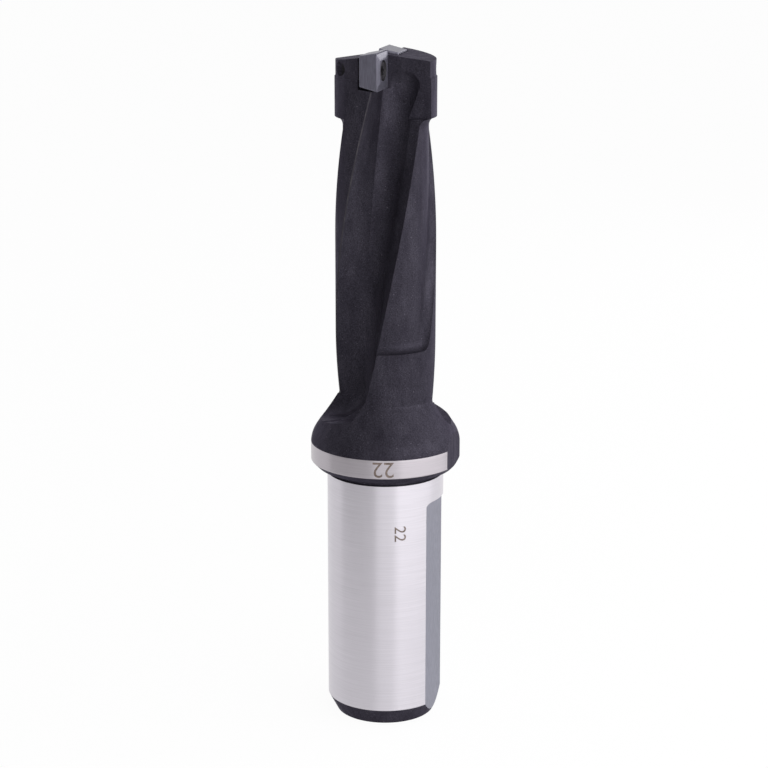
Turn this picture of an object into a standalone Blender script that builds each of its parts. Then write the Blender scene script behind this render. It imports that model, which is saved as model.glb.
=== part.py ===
"""Indexable drill for 22 mm holes, three diameters deep.

A turned steel body with a flatted shank and a flange carries two square carbide inserts.
Two helical flutes run from the flange to the head. Each insert sits in a pocket at the head
and is held by a countersunk screw. Units are metres, and +Z points to the cutting end.
The origin is the centre of the shank's end face. The flats face +X.
"""

import math

import bmesh
import bpy
from mathutils import Matrix, Vector

# Driving dimensions of the turned body
OVERALL_LENGTH = 0.1452
SHANK_DIAMETER = 0.025
SHANK_LENGTH = 0.056
SHANK_END_CHAMFER = 0.0019
SHANK_END_CHAMFER_LENGTH = 0.0036
NECK_DEPTH = 0.0003
NECK_LENGTH = 0.0015
FLANGE_DIAMETER = 0.032
FLANGE_CHAMFER = 0.00134
FLANGE_BAND_LENGTH = 0.00346
FLANGE_ROUNDING = 0.0065
CONE_HALF_ANGLE = math.radians(33)
CUTTING_DIAMETER = 0.022
BODY_CLEARANCE = 0.0004
BODY_FOOT_FILLET = 0.0012
TIP_STEP = 0.0002
TIP_STEP_LENGTH = 0.0057

# Driving dimensions of the coolant inlet in the shank's end
COOLANT_BORE_DIAMETER = 0.005
COOLANT_BORE_DEPTH = 0.060
COOLANT_MOUTH_DIAMETER = 0.008
COOLANT_MOUTH_HALF_ANGLE = math.radians(30)
DRILL_POINT_HALF_ANGLE = math.radians(59)

# Driving dimensions of the flats
SHANK_FLAT_DEPTH = 0.00158
SHANK_FLAT_LENGTH = 0.0496
SHANK_FLAT_FILLET = 0.001
FLANGE_FLAT_DEPTH = 0.00084

# Driving dimensions of the inserts and their screws
INSERT_SIZE = 0.00794
INSERT_THICKNESS = 0.00397
INSERT_CORNER_RADIUS = 0.0004
INSERT_CLEARANCE_ANGLE = math.radians(11)
INSERT_HOLE_DIAMETER = 0.0028
INSERT_SINK_DIAMETER = 0.0043
INSERT_GROOVE_WIDTH = 0.00035
INSERT_GROOVE_DEPTH = 0.00008
INSERT_SLOPE_WIDTH = 0.00135
INSERT_PLATEAU_HEIGHT = 0.00024
RAKE_OFFSET = 0.0013
CENTRE_OVERLAP = 0.0008
CENTRAL_INSERT_DROP = 0.0003
SINK_HALF_ANGLE = math.radians(30)
SCREW_DIAMETER = 0.0025
SCREW_LENGTH = 0.0068
SCREW_HEAD_DIAMETER = 0.0037
SCREW_HEAD_RIM = 0.0002
SCREW_HEAD_SINK = 0.00025
SCREW_TIP_CHAMFER = 0.0003
SCREW_HOLE_CLEARANCE = 0.00015
SCREW_HOLE_CHAMFER = 0.0003
TORX_OUTER_DIAMETER = 0.0023
TORX_INNER_DIAMETER = 0.00165
TORX_DEPTH = 0.0009

# Driving dimensions of the insert pockets and the end faces
SEAT_GAP = 0.0003
POCKET_SIDE_GAP = 0.0001
POCKET_DRAFT = math.radians(6)
PERIPHERAL_NOTCH_LENGTH = 0.0142
PERIPHERAL_NOTCH_OPENING = math.radians(3.5)
CENTRAL_SHOULDER_SETBACK = 0.0021
END_RIDGE_OFFSET = 0.0011
END_FACE_DROP = 0.00096
PERIPHERAL_END_SLOPE = math.radians(9.4)
CENTRAL_END_SLOPE = math.radians(7.1)

# Driving dimensions of the flutes and of the relief behind each land
FLUTE_LEAD = 0.255
FLUTE_MILL_DIAMETER = 0.010
FLUTE_WALL_OFFSET = 0.0001
FLUTE_CREASE_X = 0.0007
FLUTE_CREASE_DEPTH = 0.0042
WEB_DIAMETER = 0.0067
FLUTE_RUN_PAST_POCKET = 0.0004
FLUTE_RUN_INTO_CONE = 0.00234
FLUTE_FOOT_SLOPE = 0.235
FLUTE_FOOT_SLOPE_LENGTH = 0.012
HEEL_LEAD = 0.274
HEEL_WALL_OFFSET = 0.002
HEEL_TOP_DROP = 0.0045
HEEL_FOOT_RISE = 0.0001
HEEL_RUNOUT_LENGTH = 0.0057
HEEL_RUNOUT_RADIUS = 0.0095
RUNOUT_RADIUS = 0.005
RUNOUT_ANGLE = math.radians(78)
RUNOUT_STEPS = 6
RELIEF_DEPTH = 0.00167
RELIEF_FILLET = 0.002
RELIEF_CORNER_RADIUS = 0.00175
HEAD_LENGTH = 0.014
RELIEF_FOOT_LENGTH = 0.0115
LAND_ANGLE = math.radians(28)

# How finely round shapes are divided
TURNED_STEPS = 96
SMALL_TURNED_STEPS = 40
CORNER_STEPS = 5
MILL_STEPS = 12
FILLET_STEPS = 5
HELIX_STEP = 0.0024
RELIEF_FLOOR_STEPS = 9
MERGE_DISTANCE = 0.000001

# Lengths by which a cutter passes the surface that it cuts
CUTTER_MARGIN = 0.003

# Places worked out from the driving dimensions
SHANK_RADIUS = SHANK_DIAMETER / 2
FLANGE_RADIUS = FLANGE_DIAMETER / 2
BODY_RADIUS = CUTTING_DIAMETER / 2 - BODY_CLEARANCE
TIP_RADIUS = BODY_RADIUS - TIP_STEP
CUTTER_REACH = FLANGE_RADIUS + CUTTER_MARGIN
POCKET_FLOOR = OVERALL_LENGTH - INSERT_SIZE
INSERT_HALF = INSERT_SIZE / 2
INSERT_HEIGHT = OVERALL_LENGTH - INSERT_HALF
PERIPHERAL_RADIUS = math.sqrt((CUTTING_DIAMETER / 2) ** 2 - RAKE_OFFSET**2) - INSERT_HALF
CENTRAL_RADIUS = INSERT_HALF - CENTRE_OVERLAP
MILL_RADIUS = FLUTE_MILL_DIAMETER / 2
FLUTE_CREASE = Vector((FLUTE_CREASE_X, -FLUTE_CREASE_DEPTH))
MILL_REACH = WEB_DIAMETER / 2 + MILL_RADIUS
MILL_COSINE = (MILL_REACH**2 + FLUTE_CREASE.length_squared - MILL_RADIUS**2) / (2 * MILL_REACH * FLUTE_CREASE.length)
MILL_TURN = math.atan2(FLUTE_CREASE.y, FLUTE_CREASE.x) + math.acos(MILL_COSINE)
MILL_CENTRE = MILL_REACH * Vector((math.cos(MILL_TURN), math.sin(MILL_TURN)))
CREASE_ANGLE = math.atan2(FLUTE_CREASE.y - MILL_CENTRE.y, FLUTE_CREASE.x - MILL_CENTRE.x)
RIM_DEPTH = BODY_RADIUS + CUTTER_MARGIN / 10
FLANGE_ROUNDING_START = SHANK_LENGTH + FLANGE_CHAMFER + FLANGE_BAND_LENGTH
CONE_START_HEIGHT = FLANGE_ROUNDING_START + FLANGE_ROUNDING * math.sin(CONE_HALF_ANGLE)
CONE_START_RADIUS = FLANGE_RADIUS - FLANGE_ROUNDING * (1 - math.cos(CONE_HALF_ANGLE))
BODY_FOOT = CONE_START_HEIGHT + (CONE_START_RADIUS - BODY_RADIUS) / math.tan(CONE_HALF_ANGLE)
FLUTE_FOOT = BODY_FOOT - FLUTE_RUN_INTO_CONE
RUNOUT_START = FLUTE_FOOT + RUNOUT_RADIUS * math.sin(RUNOUT_ANGLE)
FLUTE_TOP = POCKET_FLOOR + FLUTE_RUN_PAST_POCKET
RELIEF_FOOT = BODY_FOOT + RELIEF_FOOT_LENGTH
RELIEF_TOP = OVERALL_LENGTH - HEAD_LENGTH
RELIEF_RADIUS = BODY_RADIUS - RELIEF_DEPTH
HEEL_FOOT = FLUTE_FOOT + HEEL_FOOT_RISE
HEEL_TOP = POCKET_FLOOR - HEEL_TOP_DROP


def clear_scene():
    """Remove whatever the scene holds."""
    for thing in list(bpy.data.objects):
        bpy.data.objects.remove(thing)


def make_collection(name):
    """A new collection in the scene."""
    collection = bpy.data.collections.new(name)
    bpy.context.scene.collection.children.link(collection)
    return collection


def make_material(name, colour, roughness, metallic):
    """A plain metal or carbide finish."""
    material = bpy.data.materials.new(name)
    material.use_nodes = True
    shader = material.node_tree.nodes["Principled BSDF"]
    shader.inputs["Base Color"].default_value = (*colour, 1)
    shader.inputs["Roughness"].default_value = roughness
    shader.inputs["Metallic"].default_value = metallic
    return material


def add_object(name, mesh, collection, parent=None, material=None):
    """An object that holds the mesh, under its parent."""
    thing = bpy.data.objects.new(name, mesh)
    collection.objects.link(thing)
    thing.parent = parent
    if material:
        mesh.materials.append(material)
    return thing


def mesh_from(bm, name):
    """The mesh of a bmesh, with its faces turned outward."""
    bmesh.ops.recalc_face_normals(bm, faces=bm.faces)
    mesh = bpy.data.meshes.new(name)
    bm.to_mesh(mesh)
    bm.free()
    return mesh


def make_turned(name, profile, steps, collection, parent=None, material=None):
    """A solid turned about Z. The profile's points are (radius, height), down the outer side."""
    mesh = bpy.data.meshes.new(name)
    points = [(radius, 0, height) for radius, height in profile]
    edges = [(i, i + 1) for i in range(len(points) - 1)]
    mesh.from_pydata(points, edges, [])
    thing = add_object(name, mesh, collection, parent, material)
    screw = thing.modifiers.new("Turn", "SCREW")
    screw.steps = steps
    screw.render_steps = steps
    screw.use_smooth_shade = True
    screw.use_merge_vertices = True
    screw.merge_threshold = MERGE_DISTANCE
    return thing


def make_loft(name, sections, collection, parent=None):
    """A closed solid through outlines of equal count. A section is (height, turn, outline)."""
    bm = bmesh.new()
    rings = []
    for height, turn, outline in sections:
        place = Matrix.Translation((0, 0, height)) @ Matrix.Rotation(turn, 4, "Z")
        rings.append([bm.verts.new(place @ point.to_3d()) for point in outline])
    for low, high in zip(rings, rings[1:]):
        for i in range(len(low)):
            j = (i + 1) % len(low)
            bm.faces.new((low[i], low[j], high[j], high[i]))
    bm.faces.new(reversed(rings[0]))
    bm.faces.new(rings[-1])
    bmesh.ops.triangulate(bm, faces=bm.faces)
    return add_object(name, mesh_from(bm, name), collection, parent)


def make_block(name, low, high, collection, parent=None):
    """A box between two corners."""
    bm = bmesh.new()
    bmesh.ops.create_cube(bm, size=1)
    size = [b - a for a, b in zip(low, high)]
    middle = [(a + b) / 2 for a, b in zip(low, high)]
    bmesh.ops.scale(bm, vec=size, verts=bm.verts)
    bmesh.ops.translate(bm, vec=middle, verts=bm.verts)
    return add_object(name, mesh_from(bm, name), collection, parent)


def cut(target, cutter):
    """Take the cutter away from the target, and leave the cutter out of renders."""
    cutter.hide_render = True
    cutter.display_type = "WIRE"
    boolean = target.modifiers.new(cutter.name, "BOOLEAN")
    boolean.operation = "DIFFERENCE"
    boolean.solver = "EXACT"
    boolean.object = cutter


def helix_turn(height, lead=FLUTE_LEAD):
    """How far a helix has turned at a height, from where the inserts' pockets start."""
    return 2 * math.pi * (height - POCKET_FLOOR) / lead


def heights_between(low, high, step):
    """Evenly spaced heights, both ends among them, at most a step apart."""
    count = max(1, math.ceil((high - low) / step))
    return [low + (high - low) * i / count for i in range(count + 1)]


def around(centre, radius, start, end, steps):
    """Points of an arc in the plane, both ends among them."""
    angles = [start + (end - start) * i / steps for i in range(steps + 1)]
    return [Vector((centre[0] + radius * math.cos(a), centre[1] + radius * math.sin(a))) for a in angles]


def body_profile():
    """The turned body's outline: down its outer side, then up inside the coolant bore."""
    end_height = OVERALL_LENGTH + CUTTER_MARGIN
    step_height = OVERALL_LENGTH - TIP_STEP_LENGTH
    points = [(0, end_height), (TIP_RADIUS, end_height), (TIP_RADIUS, step_height)]
    points.append((BODY_RADIUS, step_height - TIP_STEP))
    points.append((BODY_RADIUS, POCKET_FLOOR))
    tangent = BODY_FOOT_FILLET * math.tan(CONE_HALF_ANGLE / 2)
    fillet_centre = (BODY_RADIUS + BODY_FOOT_FILLET, BODY_FOOT + tangent)
    foot = around(fillet_centre, BODY_FOOT_FILLET, math.pi, math.pi + CONE_HALF_ANGLE, FILLET_STEPS)
    points.extend(foot)
    rounding_centre = (FLANGE_RADIUS - FLANGE_ROUNDING, FLANGE_ROUNDING_START)
    points.extend(around(rounding_centre, FLANGE_ROUNDING, CONE_HALF_ANGLE, 0, 2 * FILLET_STEPS))
    points.append((FLANGE_RADIUS, SHANK_LENGTH + FLANGE_CHAMFER))
    points.append((FLANGE_RADIUS - FLANGE_CHAMFER, SHANK_LENGTH))
    points.append((SHANK_RADIUS - NECK_DEPTH, SHANK_LENGTH))
    points.append((SHANK_RADIUS - NECK_DEPTH, SHANK_LENGTH - NECK_LENGTH + NECK_DEPTH))
    points.append((SHANK_RADIUS, SHANK_LENGTH - NECK_LENGTH))
    points.append((SHANK_RADIUS, SHANK_END_CHAMFER_LENGTH))
    points.append((SHANK_RADIUS - SHANK_END_CHAMFER, 0))
    mouth = COOLANT_MOUTH_DIAMETER / 2
    bore = COOLANT_BORE_DIAMETER / 2
    points.append((mouth, 0))
    points.append((bore, (mouth - bore) / math.tan(COOLANT_MOUTH_HALF_ANGLE)))
    points.append((bore, COOLANT_BORE_DEPTH))
    points.append((0, COOLANT_BORE_DEPTH + bore / math.tan(DRILL_POINT_HALF_ANGLE)))
    return points


def wall_x(depth):
    """Where the flute's flat leading wall lies at a depth from the axis."""
    lean = (FLUTE_CREASE_X - FLUTE_WALL_OFFSET) / (BODY_RADIUS - FLUTE_CREASE_DEPTH)
    return FLUTE_WALL_OFFSET + lean * (BODY_RADIUS - depth)


def run_out(height):
    """How far the flute's floor and walls have closed in where it runs out in the cone."""
    drop = max(0, RUNOUT_START - height)
    return RUNOUT_RADIUS - math.sqrt(RUNOUT_RADIUS**2 - drop**2)


def foot_heights(foot, top):
    """Heights of a cut's sections: close together where it runs out at its foot, then even."""
    angles = [RUNOUT_ANGLE * step / RUNOUT_STEPS for step in reversed(range(RUNOUT_STEPS))]
    heights = [foot] + [RUNOUT_START - RUNOUT_RADIUS * math.sin(angle) for angle in angles]
    return heights + heights_between(RUNOUT_START, top, HELIX_STEP)[1:]


def foot_sloped(outline, height, lead):
    """An outline whose rim sinks along the helix, so that the foot slopes outward."""
    share = max(0, 1 - (height - FLUTE_FOOT) / FLUTE_FOOT_SLOPE_LENGTH)
    points = []
    for point in outline:
        sink = -FLUTE_FOOT_SLOPE * share * point.y
        turned = Matrix.Rotation(-2 * math.pi * sink / lead, 2) @ point
        points.append(Vector((turned.x, turned.y, -sink)))
    return points


def slot_outline(rise, shrink=1):
    """The flute mill's section: a flat leading wall, a round floor from its crease, and the far side."""
    centre = MILL_CENTRE - Vector((0, rise))
    arc = around(centre, MILL_RADIUS * shrink, CREASE_ANGLE, 0, MILL_STEPS)
    far = centre.x + MILL_RADIUS * shrink
    outer = [Vector((far, -depth)) for depth in (RIM_DEPTH, CUTTER_REACH)]
    for depth in (CUTTER_REACH, RIM_DEPTH):
        outer.append(Vector((centre.x + (wall_x(depth) - centre.x) * shrink, -depth)))
    squeeze = 1 - rise / FLUTE_MILL_DIAMETER
    return [Vector((far + (point.x - far) * squeeze, point.y)) for point in arc + outer]


def flute_sections():
    """The flute: it runs out at its foot, and ends at its top in the mill's ball nose."""
    sections = []
    for height in foot_heights(FLUTE_FOOT, FLUTE_TOP):
        outline = foot_sloped(slot_outline(run_out(height)), height, FLUTE_LEAD)
        sections.append((height, helix_turn(height), outline))
    for degrees in (16, 32, 48, 66, 84):
        rise = MILL_RADIUS * math.sin(math.radians(degrees))
        outline = slot_outline(0, math.cos(math.radians(degrees)))
        sections.append((FLUTE_TOP + rise, helix_turn(FLUTE_TOP), outline))
    return sections


def heel_outline(height):
    """The section that opens the flute's trailing side to a wall, which closes in at the foot."""
    drop = max(0, FLUTE_FOOT + HEEL_RUNOUT_LENGTH - height)
    closing = HEEL_RUNOUT_RADIUS - math.sqrt(HEEL_RUNOUT_RADIUS**2 - drop**2)
    inner, wall = MILL_CENTRE.x + run_out(height), -HEEL_WALL_OFFSET - closing
    corners = [(inner, wall), (inner, -CUTTER_REACH), (CUTTER_REACH, -CUTTER_REACH)]
    return [Vector(corner) for corner in corners + [(x, wall) for x in (CUTTER_REACH, RIM_DEPTH)]]


def heel_sections():
    """The trailing side's cut, from where the flute runs out to below the insert."""
    sections = []
    for height in foot_heights(HEEL_FOOT, HEEL_TOP):
        outline = foot_sloped(heel_outline(height), height, HEEL_LEAD)
        sections.append((height, helix_turn(height, HEEL_LEAD), outline))
    return sections


def fillet_rise(distance, radius):
    """How far a fillet's surface stands over the floor at a distance from the wall."""
    if distance >= radius:
        return 0
    return radius - math.sqrt(radius**2 - (radius - distance) ** 2)


def fillet_distances(radius):
    """Distances from a wall that divide a fillet into even steps of its arc."""
    return [radius * (1 - math.cos(math.pi / 2 * i / FILLET_STEPS)) for i in range(FILLET_STEPS + 1)]


def relief_outline(height):
    """The relief's section behind a land: a round floor with a fillet to the wall at its far side."""
    near_angle = math.radians(60)
    corner = fillet_rise(height - RELIEF_FOOT, RELIEF_CORNER_RADIUS)
    far_angle = math.pi - LAND_ANGLE - corner / BODY_RADIUS
    fillet_angles = [far_angle - distance / RELIEF_RADIUS for distance in fillet_distances(RELIEF_FILLET)]
    run_start = fillet_angles[-1]
    run_angle = run_start - near_angle
    run_angles = [run_start - run_angle * i / RELIEF_FLOOR_STEPS for i in range(1, RELIEF_FLOOR_STEPS + 1)]
    end_rise = max(
        fillet_rise(height - RELIEF_FOOT, RELIEF_FILLET), fillet_rise(RELIEF_TOP - height, RELIEF_FILLET)
    )
    inner = []
    for angle in fillet_angles + run_angles:
        side_rise = fillet_rise((far_angle - angle) * RELIEF_RADIUS, RELIEF_FILLET)
        radius = RELIEF_RADIUS + max(end_rise, side_rise)
        inner.append(Vector((radius * math.sin(angle), -radius * math.cos(angle))))
    outer = [
        Vector((CUTTER_REACH * math.sin(a), -CUTTER_REACH * math.cos(a)))
        for a in (near_angle, (near_angle + far_angle) / 2, far_angle)
    ]
    return inner + outer


def relief_sections():
    """The relief's sections, closer together along the fillets at its two ends."""
    distances = fillet_distances(RELIEF_FILLET)
    heights = [RELIEF_FOOT + distance for distance in distances[:-1]]
    heights += heights_between(RELIEF_FOOT + RELIEF_FILLET, RELIEF_TOP - RELIEF_FILLET, HELIX_STEP)
    heights += [RELIEF_TOP - distance for distance in reversed(distances[:-1])]
    return [(height, helix_turn(height), relief_outline(height)) for height in heights]


def rounded_square(size, radius):
    """A square outline with round corners, centred on the origin."""
    middle = size / 2 - radius
    points = []
    for quarter in range(4):
        start = quarter * math.pi / 2
        corner = Matrix.Rotation(start, 2) @ Vector((middle, middle))
        points.extend(around(corner, radius, start, start + math.pi / 2, CORNER_STEPS))
    return points


def make_insert(name, collection, parent, material):
    """A square insert whose flanks lean in to its back, with a groove and a plateau on its face."""
    back_size = INSERT_SIZE - 2 * INSERT_THICKNESS * math.tan(INSERT_CLEARANCE_ANGLE)
    groove_size = INSERT_SIZE - 2 * INSERT_GROOVE_WIDTH
    plateau_size = groove_size - 2 * INSERT_SLOPE_WIDTH
    levels = (
        (-INSERT_THICKNESS, back_size),
        (0, INSERT_SIZE),
        (-INSERT_GROOVE_DEPTH, groove_size),
        (INSERT_PLATEAU_HEIGHT, plateau_size),
    )
    outline = rounded_square(INSERT_SIZE, INSERT_CORNER_RADIUS)
    sections = [(height, 0, [point * (size / INSERT_SIZE) for point in outline]) for height, size in levels]
    insert = make_loft(name, sections, collection, parent)
    insert.data.materials.append(material)
    return insert


def insert_hole_profile():
    """The insert's hole and its countersink, as a turned cutter along the insert's axis."""
    hole = INSERT_HOLE_DIAMETER / 2
    sink = INSERT_SINK_DIAMETER / 2
    mouth = INSERT_PLATEAU_HEIGHT
    sink_end = mouth - (sink - hole) / math.tan(SINK_HALF_ANGLE)
    top = mouth + CUTTER_MARGIN
    back = -INSERT_THICKNESS - CUTTER_MARGIN
    return [(0, top), (sink, top), (sink, mouth), (hole, sink_end), (hole, back), (0, back)]


def screw_profile():
    """The insert screw: a countersunk head and a straight shank with a chamfered tip."""
    head = SCREW_HEAD_DIAMETER / 2
    shank = SCREW_DIAMETER / 2
    top = INSERT_PLATEAU_HEIGHT - SCREW_HEAD_SINK
    rim = top - SCREW_HEAD_RIM
    neck = rim - (head - shank) / math.tan(SINK_HALF_ANGLE)
    tip = top - SCREW_LENGTH
    return [
        (0, top),
        (head, top),
        (head, rim),
        (shank, neck),
        (shank, tip + SCREW_TIP_CHAMFER),
        (shank - SCREW_TIP_CHAMFER, tip),
        (0, tip),
    ]


def torx_outline():
    """Six round lobes between the recess's inner and outer diameters."""
    middle = (TORX_OUTER_DIAMETER + TORX_INNER_DIAMETER) / 4
    swing = (TORX_OUTER_DIAMETER - TORX_INNER_DIAMETER) / 4
    points = []
    for i in range(36):
        angle = 2 * math.pi * i / 36
        radius = middle + swing * math.cos(6 * angle)
        points.append(Vector((radius * math.cos(angle), radius * math.sin(angle))))
    return points


def make_screw(name, collection, cutters, parent, material):
    """An insert screw with a six-lobed recess."""
    screw = make_turned(name, screw_profile(), SMALL_TURNED_STEPS, collection, parent, material)
    top = INSERT_PLATEAU_HEIGHT - SCREW_HEAD_SINK
    sections = [(top - TORX_DEPTH, 0, torx_outline()), (top + CUTTER_MARGIN, 0, torx_outline())]
    cut(screw, make_loft(name + "_recess", sections, cutters, parent))
    return screw


def pocket_outline(half, closed_outside):
    """An insert pocket's section: closed below and toward the axis, and beyond the insert if asked."""
    wall = half + POCKET_SIDE_GAP
    outer = -wall if closed_outside else -CUTTER_REACH
    corners = ((outer, -wall), (wall, -wall), (wall, CUTTER_REACH), (outer, CUTTER_REACH))
    return [Vector(corner) for corner in corners]


def pocket_sections(closed_outside):
    """The insert pocket from its seat to past the rake face, with drafted walls."""
    back = -INSERT_THICKNESS - SEAT_GAP
    front = CUTTER_MARGIN / 4
    slope = math.tan(POCKET_DRAFT)
    return [(height, 0, pocket_outline(INSERT_HALF + height * slope, closed_outside)) for height in (back, front)]


def screw_hole_profile(length):
    """The threaded hole behind a pocket, with a chamfered mouth where it leaves the land."""
    hole = SCREW_DIAMETER / 2 + SCREW_HOLE_CLEARANCE
    return [(0, 0), (hole, 0), (hole, -length), (0, -length)]


def chamfer_profile(depth):
    """The cone that breaks the edge of the screw hole's outer mouth."""
    hole = SCREW_DIAMETER / 2 + SCREW_HOLE_CLEARANCE
    mouth = hole + SCREW_HOLE_CHAMFER
    end = depth + CUTTER_MARGIN
    return [(0, -depth + SCREW_HOLE_CHAMFER), (hole, -depth + SCREW_HOLE_CHAMFER), (mouth, -depth), (mouth, -end), (0, -end)]


def add_pocket(body, name, turn, radius, height, closed_outside, finishes, parts, cutters, root):
    """One insert with its screw, in its pocket with the threaded hole behind it."""
    frame = bpy.data.objects.new(name + "_pocket_frame", None)
    parts.objects.link(frame)
    frame.parent = root
    rake_out = Matrix(((0, 0, 1), (1, 0, 0), (0, 1, 0))).to_4x4()
    centre = Matrix.Translation((RAKE_OFFSET, -radius, height))
    frame.matrix_local = Matrix.Rotation(turn, 4, "Z") @ centre @ rake_out

    cut(body, make_loft(name + "_pocket", pocket_sections(closed_outside), cutters, frame))
    land_depth = RAKE_OFFSET + math.sqrt(TIP_RADIUS**2 - radius**2)
    hole_length = land_depth + CUTTER_MARGIN
    cut(body, make_turned(name + "_screw_hole", screw_hole_profile(hole_length), SMALL_TURNED_STEPS, cutters, frame))
    chamfer = chamfer_profile(land_depth)
    cut(body, make_turned(name + "_hole_chamfer", chamfer, SMALL_TURNED_STEPS, cutters, frame))

    insert = make_insert(name + "_insert", parts, frame, finishes["carbide"])
    hole = make_turned(name + "_insert_hole", insert_hole_profile(), SMALL_TURNED_STEPS, cutters, frame)
    cut(insert, hole)
    make_screw(name + "_insert_screw", parts, cutters, frame, finishes["screw"])


def cut_notches(body, cutters, root):
    """The chip space before each insert, and the step in the land beyond the central insert."""
    top = OVERALL_LENGTH + 2 * CUTTER_MARGIN
    floor = INSERT_HALF + POCKET_SIDE_GAP
    peripheral_low = (0, -2 * CUTTER_REACH, OVERALL_LENGTH - PERIPHERAL_NOTCH_LENGTH)
    peripheral = make_block("peripheral_notch", peripheral_low, (CUTTER_REACH, 0, top), cutters, root)
    peripheral.location = (RAKE_OFFSET, floor - PERIPHERAL_RADIUS, 0)
    peripheral.rotation_euler.z = PERIPHERAL_NOTCH_OPENING
    cut(body, peripheral)
    central_low = (-CUTTER_REACH, CENTRAL_RADIUS - floor, POCKET_FLOOR)
    cut(body, make_block("central_notch", central_low, (-RAKE_OFFSET, CUTTER_REACH, top), cutters, root))
    shoulder_low = (-CUTTER_REACH, CENTRAL_RADIUS + floor, POCKET_FLOOR)
    shoulder_high = (CENTRAL_SHOULDER_SETBACK - RAKE_OFFSET, CUTTER_REACH, top)
    cut(body, make_block("central_shoulder", shoulder_low, shoulder_high, cutters, root))


def cut_end_faces(body, cutters, root):
    """Two slopes that fall away from a ridge near the axis."""
    ridge = (-END_RIDGE_OFFSET, 0, OVERALL_LENGTH - END_FACE_DROP)
    for name, slope in (("peripheral", -PERIPHERAL_END_SLOPE), ("central", CENTRAL_END_SLOPE)):
        low = (-2 * CUTTER_REACH, -CUTTER_REACH, 0)
        high = (2 * CUTTER_REACH, CUTTER_REACH, 2 * CUTTER_REACH)
        slab = make_block(name + "_end_slope", low, high, cutters, root)
        slab.location = ridge
        slab.rotation_euler.y = slope
        cut(body, slab)


def cut_flats(body, cutters, root):
    """The clamping flat on the shank and the flat on the flange, both facing +X."""
    low = (SHANK_RADIUS - SHANK_FLAT_DEPTH, -CUTTER_REACH, -CUTTER_MARGIN)
    high = (CUTTER_REACH, CUTTER_REACH, SHANK_FLAT_LENGTH)
    shank_flat = make_block("shank_flat", low, high, cutters, root)
    bevel = shank_flat.modifiers.new("Round", "BEVEL")
    bevel.width = SHANK_FLAT_FILLET
    bevel.segments = FILLET_STEPS
    cut(body, shank_flat)
    low = (FLANGE_RADIUS - FLANGE_FLAT_DEPTH, -CUTTER_REACH, SHANK_LENGTH - NECK_LENGTH)
    high = (CUTTER_REACH + CUTTER_MARGIN, CUTTER_REACH, BODY_FOOT)
    cut(body, make_block("flange_flat", low, high, cutters, root))


def cut_flutes(body, cutters, root):
    """Both flutes and the reliefs behind both lands, half a turn apart."""
    for number, turn in ((1, 0), (2, math.pi)):
        shapes = (("flute", flute_sections()), ("heel", heel_sections()), ("relief", relief_sections()))
        for kind, sections in shapes:
            cutter = make_loft(f"{kind}_{number}", sections, cutters, root)
            cutter.rotation_euler.z = turn
            cut(body, cutter)


def main():
    clear_scene()
    parts = make_collection("indexable_drill")
    cutters = make_collection("cutters")
    finishes = {
        "steel": make_material("black_oxide_steel", (0.06, 0.055, 0.07), 0.45, 0.7),
        "carbide": make_material("sintered_carbide", (0.38, 0.37, 0.41), 0.5, 0.4),
        "screw": make_material("dark_screw_steel", (0.09, 0.085, 0.09), 0.4, 0.8),
    }
    root = bpy.data.objects.new("indexable_drill_frame", None)
    parts.objects.link(root)
    body = make_turned("drill_body", body_profile(), TURNED_STEPS, parts, root, finishes["steel"])
    cut_flutes(body, cutters, root)
    add_pocket(
        body, "peripheral", 0, PERIPHERAL_RADIUS, INSERT_HEIGHT, False, finishes, parts, cutters, root
    )
    central_height = INSERT_HEIGHT - CENTRAL_INSERT_DROP
    add_pocket(
        body, "central", math.pi, CENTRAL_RADIUS, central_height, True, finishes, parts, cutters, root
    )
    cut_notches(body, cutters, root)
    cut_end_faces(body, cutters, root)
    cut_flats(body, cutters, root)


main()
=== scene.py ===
"""Looks of an indexable drill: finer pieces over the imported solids, finishes, lights and camera.

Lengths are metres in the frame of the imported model: +Z to the cutting end, the origin at the
centre of the shank's end face, the flats towards +X.
"""

import math

import bmesh
import bpy
from mathutils import Matrix, Vector

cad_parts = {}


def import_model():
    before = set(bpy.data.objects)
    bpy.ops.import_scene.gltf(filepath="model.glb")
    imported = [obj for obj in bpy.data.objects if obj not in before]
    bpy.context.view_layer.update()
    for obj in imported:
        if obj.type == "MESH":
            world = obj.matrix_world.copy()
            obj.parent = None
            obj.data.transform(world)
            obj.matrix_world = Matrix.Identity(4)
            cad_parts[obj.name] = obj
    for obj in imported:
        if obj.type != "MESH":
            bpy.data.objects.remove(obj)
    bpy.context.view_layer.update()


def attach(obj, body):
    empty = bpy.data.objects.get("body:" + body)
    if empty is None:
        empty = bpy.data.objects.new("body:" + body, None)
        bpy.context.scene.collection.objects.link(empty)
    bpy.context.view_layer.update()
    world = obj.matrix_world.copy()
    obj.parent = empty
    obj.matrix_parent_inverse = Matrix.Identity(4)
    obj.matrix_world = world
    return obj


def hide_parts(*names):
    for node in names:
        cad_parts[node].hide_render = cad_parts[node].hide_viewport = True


# Sizes of the turned body, the same as the solids have
OVERALL_LENGTH = 0.1452
SHANK_RADIUS = 0.0125
SHANK_LENGTH = 0.056
SHANK_END_CHAMFER = 0.0019
SHANK_END_CHAMFER_LENGTH = 0.0036
NECK_DEPTH = 0.0003
NECK_LENGTH = 0.0015
FLANGE_RADIUS = 0.016
FLANGE_CHAMFER = 0.00134
FLANGE_BAND_LENGTH = 0.00346
FLANGE_ROUNDING = 0.0065
CONE_HALF_ANGLE = math.radians(33)
BODY_RADIUS = 0.0106
BODY_FOOT_FILLET = 0.0012
TIP_RADIUS = 0.0104
TIP_STEP_LENGTH = 0.0057
COOLANT_BORE_RADIUS = 0.0025
COOLANT_BORE_DEPTH = 0.060
COOLANT_MOUTH_RADIUS = 0.004
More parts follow.
